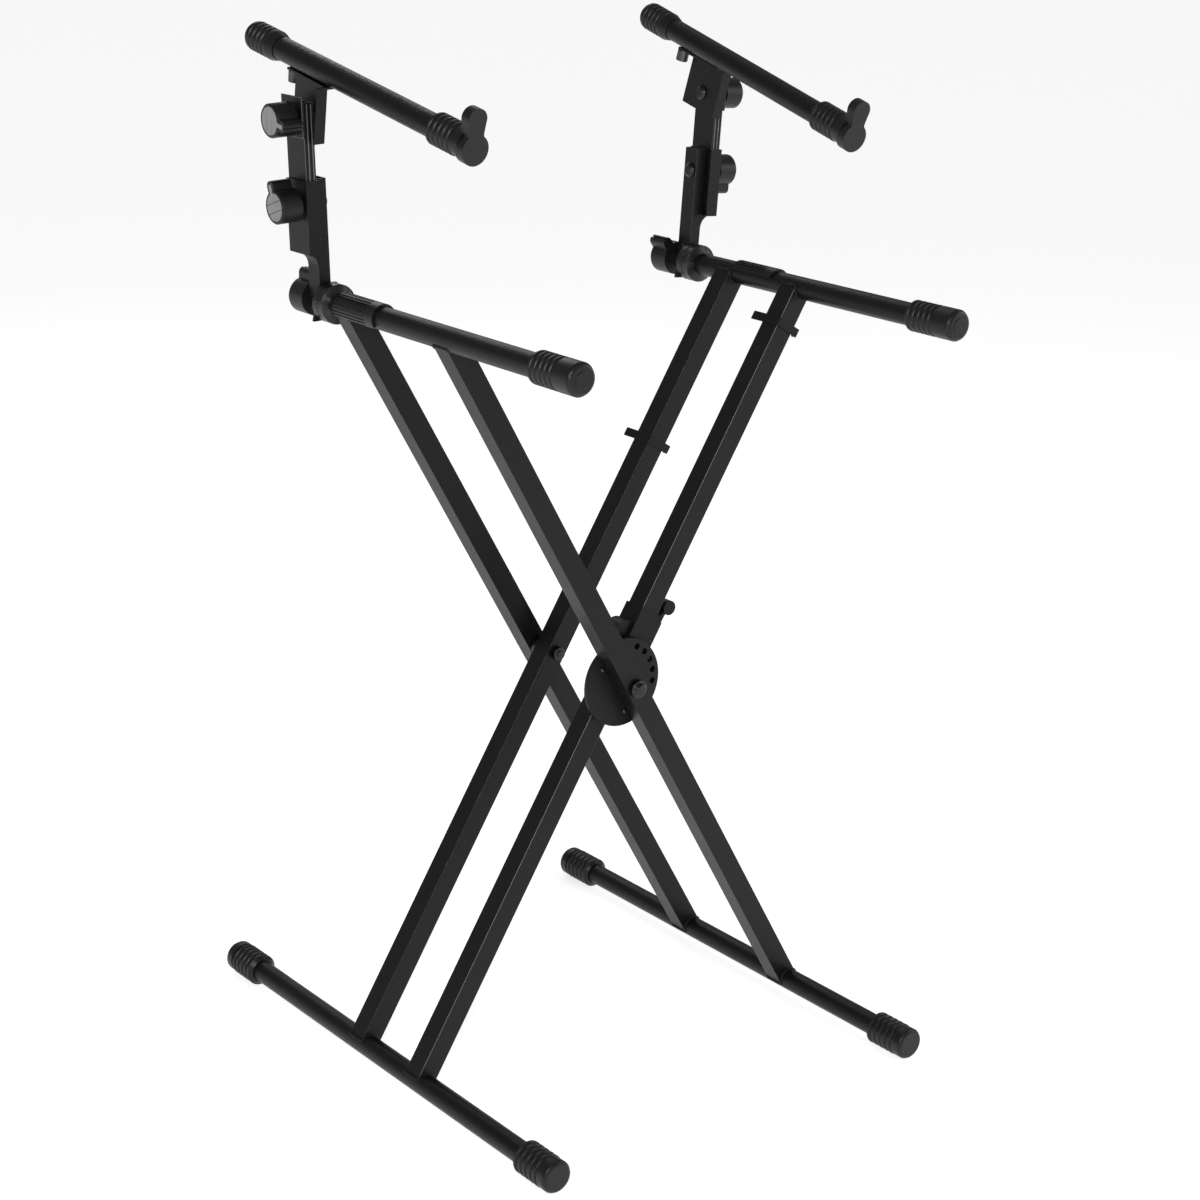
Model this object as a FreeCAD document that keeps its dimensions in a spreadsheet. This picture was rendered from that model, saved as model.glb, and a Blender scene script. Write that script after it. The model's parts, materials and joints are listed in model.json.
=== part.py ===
import FreeCAD, Part
import Sketcher
import os

# A folding two-tier stand: two crossed leg frames turn on one hub line, and
# each lower arm carries a post with a slotted bar and a tilting upper arm.
# Origin at the middle of the floor outline, Z up, X to the right, -Y to the front.

doc = FreeCAD.newDocument("folding_two_tier_stand")
sheet = doc.addObject("Spreadsheet::Sheet", "Sizes")

# Millimetres and degrees.
values = {
    # Leg frames, seen from the front.
    "foot_x": 258,  # foot tube axis from the middle
    "foot_z": 19,  # foot tube axis above the floor
    "arm_x": 253.5,  # lower arm axis from the middle
    "arm_z": 868.8,  # lower arm axis above the floor
    "leg_side": 25,  # square leg tube
    "wall": 1.5,  # wall of the steel tubes
    "tube_dia": 25.4,  # round tubes
    "hub_y": -11,  # middle of the leg pairs
    "outer_y": 91.5,  # outer leg pair from the hub middle
    "inner_y": 56.5,  # inner leg pair from the hub middle
    "weld_gap": 0.1,  # seat of a welded or pushed-on piece
    "run_gap": 0.05,  # radial gap of a turning bolt
    "body_gap": 0.3,  # gap between pieces that move
    "bolt_dia": 8,  # pivot and clamp bolts
    # Feet and lower arms.
    "foot_half": 326,  # half length of a foot over its caps
    "foot_cap_len": 58,  # foot cap
    "foot_cap_wall": 4.7,  # foot cap wall between the ribs
    "foot_rib_pitch": 8.4,  # rib spacing of the foot caps
    "arm_front": 325,  # front end of the lower arms
    "arm_rear": 96,  # rear end of the lower arm tubes
    "arm_cap_len": 70,  # lower arm cap
    "cap_core_wall": 3.3,  # arm cap wall between the ribs
    "cap_rib_wall": 4.7,  # arm cap wall at a rib
    "rear_rib_wall": 3.6,  # rear cap wall at a rib
    "rib_pitch": 7.8,  # rib spacing of the arm caps
    "rib_len": 4.8,  # width of one rib
    "cap_wall": 8,  # closed end of a cap
    "taper_len": 3,  # lead-in of a cap
    "sleeve_wall": 2.8,  # rubber sleeve over the tube
    "sleeve_wrap": 194,  # angle covered by a sleeve
    "sleeve_left_y": 14,  # front end of the left sleeve
    "sleeve_left_len": 78,  # left sleeve
    "sleeve_right_y": -37,  # front end of the right sleeve
    "sleeve_right_len": 68,  # right sleeve
    "sleeve_band": 15,  # smooth band of a sleeve
    "sleeve_rib": 0.9,  # height of a lengthwise rib
    # Toothed pivots between the lower arms and the posts.
    "post_lean": 3.1,  # posts lean outward
    "rose_rad": 21.7,  # toothed disc radius
    "rose_len": 8.3,  # toothed disc thickness
    "rose_hub": 12,  # inner radius of the teeth
    "tooth_high": 0.9,  # height of a tooth
    "tooth_wide": 1.7,  # width of a tooth
    "tooth_count": 30,  # teeth on a disc
    "rose_y": 101,  # front face of the front disc
    "plug_len": 20,  # plug in the arm tube
    # Post: narrow tube, pivot plate and bent channel.
    "side_y": 130,  # middle of a post
    "post_in": 3,  # inner face of the narrow tube
    "post_wide": 14,  # narrow tube width
    "post_deep": 21,  # narrow tube depth
    "post_low": 6,  # lower end of the narrow tube
    "post_top": 133,  # top of the post
    "plate_half": 20,  # half width of the pivot plate
    "plate_low": 19,  # pivot plate below the pivot
    "plate_thick": 4,  # pivot plate
    "boss_rad": 9,  # spacer behind the pivot plate
    "chan_out": 27,  # outer face of the channel
    "chan_lip": 12,  # inner edge of the channel lips
    "chan_low": 54.5,  # bottom of the channel
    "chan_deep": 40,  # channel depth
    "chan_wall": 1.6,  # channel sheet
    "height_v": 107,  # height bolt above the pivot
    # Slotted bar and tilt clamp.
    "bar_in": 12.7,  # inner face of the bar
    "bar_wide": 12.2,  # bar width
    "bar_deep": 35,  # bar depth
    "bar_top": 215,  # top of the bar
    "slot_up": 30,  # upward travel of the bar
    "slot_down": 5,  # downward travel of the bar
    "tilt_v": 197.5,  # tilt bolt above the pivot
    "clamp_low": 178,  # bottom of the clamp plate
    "clamp_high": 43,  # height of the clamp plate
    "clamp_thick": 2,  # clamp plate
    # Saddle and upper arm, measured from the tilt bolt along and across the arm.
    "tilt_left": 11,  # left arm slopes down to the front
    "tilt_right": 14.5,  # right arm slopes down to the front
    "web_in": 5,  # inner face of the saddle web
    "sheet": 2.5,  # saddle sheet
    "web_front": 29,  # saddle in front of the bolt
    "web_rear": 29,  # saddle behind the bolt
    "web_low": 21,  # saddle below the bolt
    "flange_out": 17.7,  # front flange reach
    "top_half": 12,  # half width of the top flange
    "top_rear": 46,  # top flange behind the bolt
    "arm_up": 52.2,  # upper arm axis above the bolt
    "tube_front": 262,  # upper tube in front of the bolt
    "tube_rear": 111,  # upper tube behind the bolt
    "cap_rear_at": 68,  # start of the rear cap
    "cap_rear_len": 53,  # rear cap
    "cap_front_at": 209.5,  # start of the front cap
    "cap_front_len": 64.5,  # front cap
    "arm_toe": 1.6,  # upper arms turned in on their screws
    "screw_y": 42,  # saddle screw behind the bolt
    "screw_dia": 6,  # saddle screw
    "screw_high": 13,  # head of the saddle screw
    "lobe_wall": 3.4,  # wall of the round foot of the stop
    "lobe_drop": 2.9,  # round foot below the arm axis
    "ear_thick": 12,  # stop at the front end
    "ear_half": 11.3,  # half width of the stop
    "ear_waist": 9,  # half width of the waist of the stop
    "ear_mid": 27.9,  # centre of the round top of the stop
    "ear_turn": 13,  # waist of the stop above the arm axis
    # Knobs.
    "knob_rad": 18,  # side knobs
    "knob_len": 25,  # side knob body
    "neck_rad": 10,  # knob neck
    "neck_len": 3.2,  # knob neck
    "wing_reach": 28.5,  # wing tip from the knob axis
    "wing_half": 6.2,  # half width of a wing
    "face_rad": 15.2,  # recess for the face disc
    "face_deep": 1.2,  # recess depth
    "bore_deep": 20,  # bolt depth in a knob
    "pivot_knob_rad": 19.5,  # pivot knobs
    "pivot_knob_len": 28,  # pivot knob body
    # Hub, lock disc and lever.
    "disc_rad": 51.6,  # lock disc
    "disc_thick": 4.8,  # lock disc
    "disc_edge": 8.4,  # lock holes from the edge of the disc
    "disc_hole": 3.6,  # radius of a lock hole
    "disc_step": 18,  # angle between lock holes
    "disc_start": 5,  # first lock hole past the leg line
    "pin_hole": 2,  # lock hole that the pin is set to
    "spacer_rad": 12,  # hub spacers
    "nut_rad": 10.5,  # hub bolt heads
    "nut_len": 9,  # hub bolt heads
    "pin_rad": 3,  # lock pin
    "lever_s": 56,  # lever axle above the hub
    "lever_off": 20.5,  # lever axle from the leg middle
    "axle_dia": 4,  # lever axle
    "lever_half": 9,  # half width of the lever
    "lever_low": 45,  # lower end of the lever
    "lever_in": 15.6,  # lever beside the leg
    "lever_out": 25.5,  # outer side of the lever
    "lever_bend": 58,  # where the inner side leaves the leg
    "lever_neck": 88,  # neck under the thumb lobe
    "neck_in": 20.5,  # inner side of the neck
    "neck_out": 26.5,  # outer side of the neck
    "thumb_s": 99.5,  # middle of the thumb lobe
    "thumb_off": 29,  # thumb lobe from the leg middle
    "thumb_rad": 8.5,  # thumb lobe
    "house_low": 34,  # lock housing above the hub
    "house_len": 52,  # lock housing length
    "house_wall": 2,  # lock housing wall
    "house_bump": 16,  # round side of the housing
    "bump_s": 50,  # round side above the hub
    "guard_edge": 3,  # edge of the disc past the guard ring
    "guide_rad": 6,  # guide of the lock pin
    "clip_rear_s": 270,  # rear cable clip above the hub
    "clip_front_s": 444,  # front cable clip above the hub
    "clip_wall": 2,  # cable clip
    "clip_high": 10,  # cable clip height
    "clip_tail": 18,  # tongue behind the leg
    "clip_tab": 7.5,  # tab beside the leg
}
for row, name in enumerate(values, 1):
    sheet.set("A" + str(row), name)
    sheet.set("B" + str(row), str(values[name]))
    sheet.setAlias("B" + str(row), name)
doc.recompute()

# Lengths and angles that follow from the sizes.
RUN = "$foot_x + $arm_x"
RISE = "$arm_z - $foot_z"
LEAN = "atan((" + RUN + ") / (" + RISE + "))"
LEG = "sqrt((" + RUN + ")^2 + (" + RISE + ")^2)"
HUB_S = "$foot_x * " + LEG + " / (" + RUN + ")"
HUB_Z = "$foot_z + $foot_x * (" + RISE + ") / (" + RUN + ")"
BORE = "$bolt_dia / 2 + $run_gap"
TUBE = "$tube_dia / 2"
PLUG = TUBE + " - $wall - $weld_gap"
SLEEVE = TUBE + " + $sleeve_wall"
FOOT_CORE = TUBE + " + $foot_cap_wall"
CAP_CORE = TUBE + " + $cap_core_wall"
CAP_RIB = TUBE + " + $cap_rib_wall"
REAR_RIB = TUBE + " + $rear_rib_wall"
HOLE_AT = "$disc_rad - $disc_edge"


def fill(text):
    words = text.split("$")
    return "Sizes.".join(words)


def bind(thing, prop, text):
    thing.setExpression(prop, fill(text))


def at(x, y, z):
    return "placement(vector(" + x + "; " + y + "; " + z + "); rotation(vector(0;0;1); 0))"


def turn(x, y, z, axis, angle):
    spot = "vector(" + x + "; " + y + "; " + z + ")"
    return "placement(" + spot + "; rotation(vector(" + axis + "); " + angle + "))"


ALONG = {"x": ("0;1;0", "90"), "y": ("1;0;0", "-90"), "z": ("0;0;1", "0")}


def box(name, x, y, z, dx, dy, dz):
    made = doc.addObject("Part::Box", name)
    bind(made, "Length", dx)
    bind(made, "Width", dy)
    bind(made, "Height", dz)
    bind(made, "Placement", at(x, y, z))
    return made


def rod(name, way, radius, length, x, y, z):
    made = doc.addObject("Part::Cylinder", name)
    bind(made, "Radius", radius)
    bind(made, "Height", length)
    axis, angle = ALONG[way]
    bind(made, "Placement", turn(x, y, z, axis, angle))
    return made


def cone(name, way, radius_a, radius_b, length, x, y, z):
    made = doc.addObject("Part::Cone", name)
    bind(made, "Radius1", radius_a)
    bind(made, "Radius2", radius_b)
    bind(made, "Height", length)
    axis, angle = ALONG[way]
    bind(made, "Placement", turn(x, y, z, axis, angle))
    return made


def fuse(name, pieces):
    made = doc.addObject("Part::MultiFuse", name)
    made.Shapes = pieces
    return made


def cut(name, base, tools):
    tool = tools[0]
    if len(tools) > 1:
        tool = fuse(name + "_tools", tools)
    made = doc.addObject("Part::Cut", name)
    made.Base = base
    made.Tool = tool
    return made


def plane(body, role):
    return [item for item in body.Origin.OriginFeatures if item.Role == role][0]


def new_sketch(body, name, role):
    sketch = body.newObject("Sketcher::SketchObject", name)
    sketch.AttachmentSupport = (plane(body, role), [""])
    sketch.MapMode = "FlatFace"
    return sketch


def drive(sketch, kind, first, second, text, start):
    # first and second are (geometry, point); the value comes from the sheet.
    number = sketch.addConstraint(
        Sketcher.Constraint(kind, first[0], first[1], second[0], second[1], start)
    )
    label = "d" + str(number)
    sketch.renameConstraint(number, label)
    sketch.setExpression("Constraints." + label, fill(text))


def ring_profile(sketch, text, start):
    circle = Part.Circle(FreeCAD.Vector(0, 0, 0), FreeCAD.Vector(0, 0, 1), start)
    number = sketch.addGeometry(circle, False)
    sketch.addConstraint(Sketcher.Constraint("Coincident", number, 3, -1, 1))
    size_number = sketch.addConstraint(Sketcher.Constraint("Radius", number, start))
    label = "r" + str(size_number)
    sketch.renameConstraint(size_number, label)
    sketch.setExpression("Constraints." + label, fill(text))


def box_profile(sketch, text_x, text_y, start_x, start_y):
    # A rectangle centred on the origin, half sizes given by the two texts.
    low_left = FreeCAD.Vector(-start_x, -start_y, 0)
    low_right = FreeCAD.Vector(start_x, -start_y, 0)
    top_right = FreeCAD.Vector(start_x, start_y, 0)
    top_left = FreeCAD.Vector(-start_x, start_y, 0)
    corners = [low_left, low_right, top_right, top_left]
    first = sketch.GeometryCount
    for step in range(4):
        edge = Part.LineSegment(corners[step], corners[(step + 1) % 4])
        sketch.addGeometry(edge, False)
    for step in range(4):
        here = first + step
        after = first + (step + 1) % 4
        sketch.addConstraint(Sketcher.Constraint("Coincident", here, 2, after, 1))
    sketch.addConstraint(Sketcher.Constraint("Horizontal", first))
    sketch.addConstraint(Sketcher.Constraint("Horizontal", first + 2))
    sketch.addConstraint(Sketcher.Constraint("Vertical", first + 1))
    sketch.addConstraint(Sketcher.Constraint("Vertical", first + 3))
    drive(sketch, "DistanceX", (-1, 1), (first + 2, 1), text_x, start_x)
    drive(sketch, "DistanceY", (-1, 1), (first + 2, 1), text_y, start_y)
    drive(sketch, "DistanceX", (first, 1), (-1, 1), text_x, start_x)
    drive(sketch, "DistanceY", (first, 1), (-1, 1), text_y, start_y)


def corner_profile(sketch, corners):
    # Each corner is (sheet name, sheet name), a leading minus for the far side.
    points = []
    for name_x, name_y in corners:
        spot = []
        for name in (name_x, name_y):
            sign = -1.0 if name.startswith("-") else 1.0
            spot.append(sign * values[name.lstrip("-")])
        points.append(FreeCAD.Vector(spot[0], spot[1], 0))
    count = len(points)
    for step in range(count):
        edge = Part.LineSegment(points[step], points[(step + 1) % count])
        sketch.addGeometry(edge, False)
    for step in range(count):
        sketch.addConstraint(Sketcher.Constraint("Coincident", step, 2, (step + 1) % count, 1))
    for step in range(count):
        for kind, name in zip(("DistanceX", "DistanceY"), corners[step]):
            start = values[name.lstrip("-")]
            ends = ((-1, 1), (step, 1))
            if name.startswith("-"):
                ends = ((step, 1), (-1, 1))
            drive(sketch, kind, ends[0], ends[1], "$" + name.lstrip("-"), start)


def pad(body, name, sketch, length):
    made = body.newObject("PartDesign::Pad", name)
    made.Profile = sketch
    bind(made, "Length", length)
    sketch.Visibility = False
    return made


def round_tube(name, length):
    body = doc.addObject("PartDesign::Body", name)
    sketch = new_sketch(body, name + "_profile", "XY_Plane")
    ring_profile(sketch, TUBE, values["tube_dia"] / 2)
    ring_profile(sketch, TUBE + " - $wall", values["tube_dia"] / 2 - values["wall"])
    pad(body, name + "_pad", sketch, length)
    return body


finished = []


def put(label, source, where):
    made = doc.addObject("Part::Compound", label)
    made.Links = [source]
    made.Label = label
    bind(made, "Placement", where)
    finished.append(made)
    return made


def flip(label, source, where):
    made = doc.addObject("Part::Mirroring", label)
    made.Source = source
    made.Normal = FreeCAD.Vector(1, 0, 0)
    made.Label = label
    bind(made, "Placement", where)
    finished.append(made)
    return made


# Legs: square tube coped onto the round tubes at both ends.
leg_body = doc.addObject("PartDesign::Body", "leg_stock")
leg_sketch = new_sketch(leg_body, "leg_profile", "XY_Plane")
leg_half = values["leg_side"] / 2
box_profile(leg_sketch, "$leg_side / 2", "$leg_side / 2", leg_half, leg_half)
inner_text = "$leg_side / 2 - $wall"
leg_inner = leg_half - values["wall"]
box_profile(leg_sketch, inner_text, inner_text, leg_inner, leg_inner)
pad(leg_body, "leg_pad", leg_sketch, LEG)
SEAT = TUBE + " + $weld_gap"
cope_low = rod("cope_low", "y", SEAT, "$leg_side + 2", "0", "-$leg_side / 2 - 1", "0")
cope_top = rod("cope_top", "y", SEAT, "$leg_side + 2", "0", "-$leg_side / 2 - 1", LEG)
hub_hole = rod("hub_hole", "y", BORE, "$leg_side + 2", "0", "-$leg_side / 2 - 1", HUB_S)
leg = cut("leg_plain", leg_body, [cope_low, cope_top, hub_hole])
TURN_A = "-" + LEAN
A_FRONT = turn("$foot_x", "$hub_y - $outer_y", "$foot_z", "0;1;0", TURN_A)
A_REAR = turn("$foot_x", "$hub_y + $outer_y", "$foot_z", "0;1;0", TURN_A)
B_FRONT = turn("-$foot_x", "$hub_y - $inner_y", "$foot_z", "0;1;0", LEAN)
B_REAR = turn("-$foot_x", "$hub_y + $inner_y", "$foot_z", "0;1;0", LEAN)
put("leg_a_front", leg, A_FRONT)
put("leg_a_rear", leg, A_REAR)
put("leg_b_front", leg, B_FRONT)
put("leg_b_rear", leg, B_REAR)

# Foot tubes and their ribbed caps.
foot_tube = round_tube("foot_stock", "2 * ($foot_half - $cap_wall) - 1")
FOOT_START = "-$foot_half + $cap_wall + 0.5"
put("foot_tube_right", foot_tube, turn("$foot_x", FOOT_START, "$foot_z", "1;0;0", "-90"))
put("foot_tube_left", foot_tube, turn("-$foot_x", FOOT_START, "$foot_z", "1;0;0", "-90"))


def ribs(name, count, radius, pitch, start):
    made = []
    for step in range(count):
        low = start + " + " + str(step) + " * (" + pitch + ")"
        made.append(cone(name + "_lead_" + str(step), "z", radius + " - 1.4", radius,
                         "1.2", "0", "0", low))
        made.append(rod(name + "_" + str(step), "z", radius, "$rib_len - 2.4",
                        "0", "0", low + " + 1.2"))
        made.append(cone(name + "_fall_" + str(step), "z", radius, radius + " - 1.4",
                         "1.2", "0", "0", low + " + $rib_len - 1.2"))
    return made


def round_end(name, radius, start, finish, bend):
    # A short cylinder with a two-step rounded outer edge.
    first = rod(name + "_body", "z", radius, finish + " - (" + start + ") - " + bend,
                "0", "0", start)
    low = finish + " - " + bend
    soft = cone(name + "_soft", "z", radius, radius + " - 0.35 * " + bend,
                "0.6 * " + bend, "0", "0", low)
    tip = cone(name + "_tip", "z", radius + " - 0.35 * " + bend, radius + " - " + bend,
               "0.4 * " + bend, "0", "0", low + " + 0.6 * " + bend)
    return [first, soft, tip]


def socket(name, length):
    return rod(name, "z", SEAT, length, "0", "0", "-1")


foot_parts = [
    cone("foot_lead", "z", FOOT_CORE + " - 3", FOOT_CORE, "$taper_len", "0", "0", "0"),
    rod("foot_core", "z", FOOT_CORE, "$foot_cap_len - 15", "0", "0", "$taper_len"),
]
foot_parts += ribs("foot_rib", 5, "$foot_z", "$foot_rib_pitch", "$taper_len")
foot_parts += round_end("foot_end", "$foot_z - 0.5", "$foot_cap_len - 14", "$foot_cap_len", "4")
foot_solid = fuse("foot_cap_solid", foot_parts)
foot_cap = cut("foot_cap", foot_solid, [socket("foot_socket", "$foot_cap_len - $cap_wall + 1")])
for side, sign in (("right", ""), ("left", "-")):
    front = turn(sign + "$foot_x", "-$foot_half + $foot_cap_len", "$foot_z", "1;0;0", "90")
    put("foot_cap_" + side + "_front", foot_cap, front)
    rear = turn(sign + "$foot_x", "$foot_half - $foot_cap_len", "$foot_z", "1;0;0", "-90")
    put("foot_cap_" + side + "_rear", foot_cap, rear)

# Lower arm tubes, front caps and rubber sleeves.
arm_tube = round_tube("arm_stock", "$arm_rear + $arm_front - $cap_wall - 0.5")
ARM_START = "-$arm_front + $cap_wall + 0.5"
put("arm_tube_right", arm_tube, turn("$arm_x", ARM_START, "$arm_z", "1;0;0", "-90"))
put("arm_tube_left", arm_tube, turn("-$arm_x", ARM_START, "$arm_z", "1;0;0", "-90"))
arm_parts = [
    cone("arm_lead", "z", TUBE + " + 1", CAP_CORE, "$taper_len", "0", "0", "0"),
    rod("arm_core", "z", CAP_CORE, "$arm_cap_len - 20", "0", "0", "$taper_len"),
    rod("arm_button", "z", "8.5", "1", "0", "0", "$arm_cap_len - 0.2"),
]
arm_parts += ribs("arm_rib", 5, CAP_RIB, "$rib_pitch", "$taper_len")
arm_parts += round_end("arm_end", CAP_RIB, "43", "$arm_cap_len", "4.5")
arm_solid = fuse("arm_cap_solid", arm_parts)
arm_cap = cut("arm_cap", arm_solid, [socket("arm_socket", "$arm_cap_len - $cap_wall + 1")])
for side, sign in (("right", ""), ("left", "-")):
    front = turn(sign + "$arm_x", "-$arm_front + $arm_cap_len", "$arm_z", "1;0;0", "90")
    put("arm_cap_" + side, arm_cap, front)


def sleeve(name, length, count):
    # The open side is filled by the leg; the front band is smooth.
    band = rod(name + "_band", "z", SLEEVE, "$sleeve_band", "0", "0", "0")
    bind(band, "Angle", "$sleeve_wrap")
    low = "$sleeve_band - 0.5"
    core = rod(name + "_core", "z", SLEEVE + " - $sleeve_rib", length + " - " + low,
               "0", "0", low)
    bind(core, "Angle", "$sleeve_wrap")
    parts = [band, core]
    for step in range(count):
        rib = doc.addObject("Part::Box", name + "_rib_" + str(step))
        bind(rib, "Length", "$sleeve_wall - 1")
        bind(rib, "Width", "1.8")
        bind(rib, "Height", length + " - $sleeve_band")
        angle = "$sleeve_wrap * " + str(step + 0.5) + " / " + str(count)
        spin = turn("0", "0", low, "0;0;1", angle)
        bind(rib, "Placement", spin + " * " + at(TUBE + " + 1", "-0.9", "0"))
        parts.append(rib)
    solid = fuse(name + "_solid", parts)
    return cut(name, solid, [rod(name + "_bore", "z", SEAT, length + " + 2", "0", "0", "-1")])


sleeve_left = sleeve("sleeve_left_stock", "$sleeve_left_len", 13)
sleeve_right = sleeve("sleeve_right_stock", "$sleeve_right_len", 13)
SPIN_LEFT = turn("0", "0", "0", "0;0;1", "(270 - $sleeve_wrap / 2) * 1 deg - " + LEAN)
SPIN_RIGHT = turn("0", "0", "0", "0;0;1", "(270 - $sleeve_wrap / 2) * 1 deg + " + LEAN)
put("arm_sleeve_left", sleeve_left,
    turn("-$arm_x", "$sleeve_left_y", "$arm_z", "1;0;0", "-90") + " * " + SPIN_LEFT)
put("arm_sleeve_right", sleeve_right,
    turn("$arm_x", "$sleeve_right_y", "$arm_z", "1;0;0", "-90") + " * " + SPIN_RIGHT)

# Toothed pivot discs: one plugged into the arm tube, one on the post.
rose_body = doc.addObject("PartDesign::Body", "rosette_stock")
rose_sketch = new_sketch(rose_body, "rosette_disc", "XY_Plane")
ring_profile(rose_sketch, "$rose_rad", values["rose_rad"])
pad(rose_body, "rosette_disc_pad", rose_sketch, "$rose_len")
tooth_sketch = new_sketch(rose_body, "rosette_tooth", "XY_Plane")
tooth_in = values["rose_hub"]
tooth_out = values["rose_rad"] - 0.3
tooth_half = values["tooth_wide"] / 2
tooth_points = [
    FreeCAD.Vector(tooth_in, -tooth_half, 0),
    FreeCAD.Vector(tooth_out, -tooth_half, 0),
    FreeCAD.Vector(tooth_out, tooth_half, 0),
    FreeCAD.Vector(tooth_in, tooth_half, 0),
]
for step in range(4):
    tooth_sketch.addGeometry(Part.LineSegment(tooth_points[step], tooth_points[(step + 1) % 4]), False)
for step in range(4):
    tooth_sketch.addConstraint(Sketcher.Constraint("Coincident", step, 2, (step + 1) % 4, 1))
for step, kind in enumerate(("Horizontal", "Vertical", "Horizontal", "Vertical")):
    tooth_sketch.addConstraint(Sketcher.Constraint(kind, step))
drive(tooth_sketch, "DistanceX", (-1, 1), (0, 1), "$rose_hub", tooth_in)
drive(tooth_sketch, "DistanceX", (-1, 1), (0, 2), "$rose_rad - 0.3", tooth_out)
drive(tooth_sketch, "DistanceY", (0, 1), (-1, 1), "$tooth_wide / 2", tooth_half)
drive(tooth_sketch, "DistanceY", (-1, 1), (2, 1), "$tooth_wide / 2", tooth_half)
tooth_pad = pad(rose_body, "rosette_tooth_pad", tooth_sketch, "$rose_len + $tooth_high")
tooth_ring = rose_body.newObject("PartDesign::PolarPattern", "rosette_teeth")
tooth_ring.Originals = [tooth_pad]
tooth_ring.Axis = (plane(rose_body, "Z_Axis"), [""])
tooth_ring.Angle = 360
bind(tooth_ring, "Occurrences", "$tooth_count")
rose_body.Tip = tooth_ring
rose_bore = rod("rosette_bore", "z", BORE, "60", "0", "0", "-30")
rose_post = cut("rosette_post_stock", rose_body, [rose_bore])
neck = cone("rosette_neck", "z", TUBE, "$rose_rad", "$rose_y - $arm_rear", "0", "0",
            "$arm_rear - $rose_y")
plug = rod("rosette_plug", "z", PLUG, "$plug_len + 1", "0", "0",
           "$arm_rear - $rose_y - $plug_len")
rose_arm_solid = fuse("rosette_arm_solid", [rose_body, neck, plug])
rose_arm = cut("rosette_arm_stock", rose_arm_solid, [rose_bore])
ROSE_RIGHT = turn("$arm_x", "$rose_y", "$arm_z", "1;0;0", "-90")
ROSE_LEFT = turn("-$arm_x", "$rose_y", "$arm_z", "1;0;0", "-90")
put("rosette_arm_right", rose_arm, ROSE_RIGHT)
flip("rosette_arm_left", rose_arm, ROSE_LEFT)
HEAD_Y = "$arm_rear - $plug_len - 5"
bolt_head = rod("pivot_head", "y", "7", "5", "0", HEAD_Y, "0")
bolt_shank = rod("pivot_shank", "y", "$bolt_dia / 2",
                 "$side_y + $post_deep / 2 + $bore_deep - 1 - (" + HEAD_Y + ")", "0", HEAD_Y, "0")
pivot_bolt = fuse("pivot_bolt_stock", [bolt_head, bolt_shank])
put("pivot_bolt_right", pivot_bolt, at("$arm_x", "0", "$arm_z"))
flip("pivot_bolt_left", pivot_bolt, at("-$arm_x", "0", "$arm_z"))

# Posts: x is measured outward from the pivot, z up along the post.
POST_RIGHT = turn("$arm_x", "0", "$arm_z", "0;1;0", "$post_lean")
POST_LEFT = turn("-$arm_x", "0", "$arm_z", "0;1;0", "-$post_lean")


def pair(label, source):
    put(label + "_right", source, POST_RIGHT)
    flip(label + "_left", source, POST_LEFT)


POST_Y = "$side_y - $post_deep / 2"
post_tube = box("post_tube", "-$post_in", POST_Y, "$post_low",
                "$post_wide", "$post_deep", "$post_top - $post_low")
post_void = box("post_void", "-$post_in + $wall", POST_Y + " + $wall", "$post_low + 8",
                "$post_wide - 2 * $wall", "$post_deep - 2 * $wall", "$post_top")
post_plate = box("post_plate", "-$plate_half", POST_Y, "-$plate_low",
                 "2 * $plate_half", "$plate_thick", "$plate_low + 20")
post_boss = rod("post_boss", "y", "$boss_rad", "$post_deep", "0", POST_Y, "0")
CHAN_Y = "$side_y - $chan_deep / 2"
HIGH = "$post_top - $chan_low"
chan_solid = box("chan_solid", "$chan_lip", CHAN_Y, "$chan_low", "$chan_out - $chan_lip",
                 "$chan_deep", HIGH)
chan_void = box("chan_void", "$chan_lip - 1", CHAN_Y + " + $chan_wall", "$chan_low + $chan_wall",
                "$chan_out - $chan_wall - $chan_lip + 1", "$chan_deep - 2 * $chan_wall", HIGH)
channel = cut("channel", chan_solid, [chan_void])
chan_foot = box("chan_foot", "-$post_in + $post_wide - 1", CHAN_Y, "$chan_low",
                "$chan_lip + $post_in - $post_wide + 2", "$chan_deep", "$chan_wall")
post_solid = fuse("post_solid", [post_tube, post_plate, post_boss])
post_open = cut("post_open", post_solid, [post_void])
post_joined = fuse("post_joined", [post_open, channel, chan_foot])
pivot_hole = rod("pivot_hole", "y", BORE, "60", "0", "$side_y - 30", "0")
height_hole = rod("height_hole", "x", BORE, "60", "-20", "$side_y", "$height_v")
post = cut("post_stock", post_joined, [pivot_hole, height_hole])
pair("post", post)
rose_on_post = turn("0", POST_Y, "0", "1;0;0", "90")
rose_placed = doc.addObject("Part::Compound", "rosette_post_placed")
rose_placed.Links = [rose_post]
bind(rose_placed, "Placement", rose_on_post)
pair("rosette_post", rose_placed)


def dome_bolt(name, start, y, z, length):
    # A domed head on the inner side, the shank pointing outward.
    head = cone(name + "_head", "x", "5.5", "8.5", "2.6", start + " - 4", y, z)
    rim = rod(name + "_rim", "x", "8.5", "1.4", start + " - 1.45", y, z)
    shank = rod(name + "_shank", "x", "$bolt_dia / 2", length, start + " - 1", y, z)
    return fuse(name, [head, rim, shank])


KNOB_BASE = "$chan_out + $body_gap"
height_bolt = dome_bolt("height_bolt_stock", "-$post_in", "$side_y", "$height_v",
                        "$post_in + $chan_out + $bore_deep")
pair("height_bolt", height_bolt)

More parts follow.
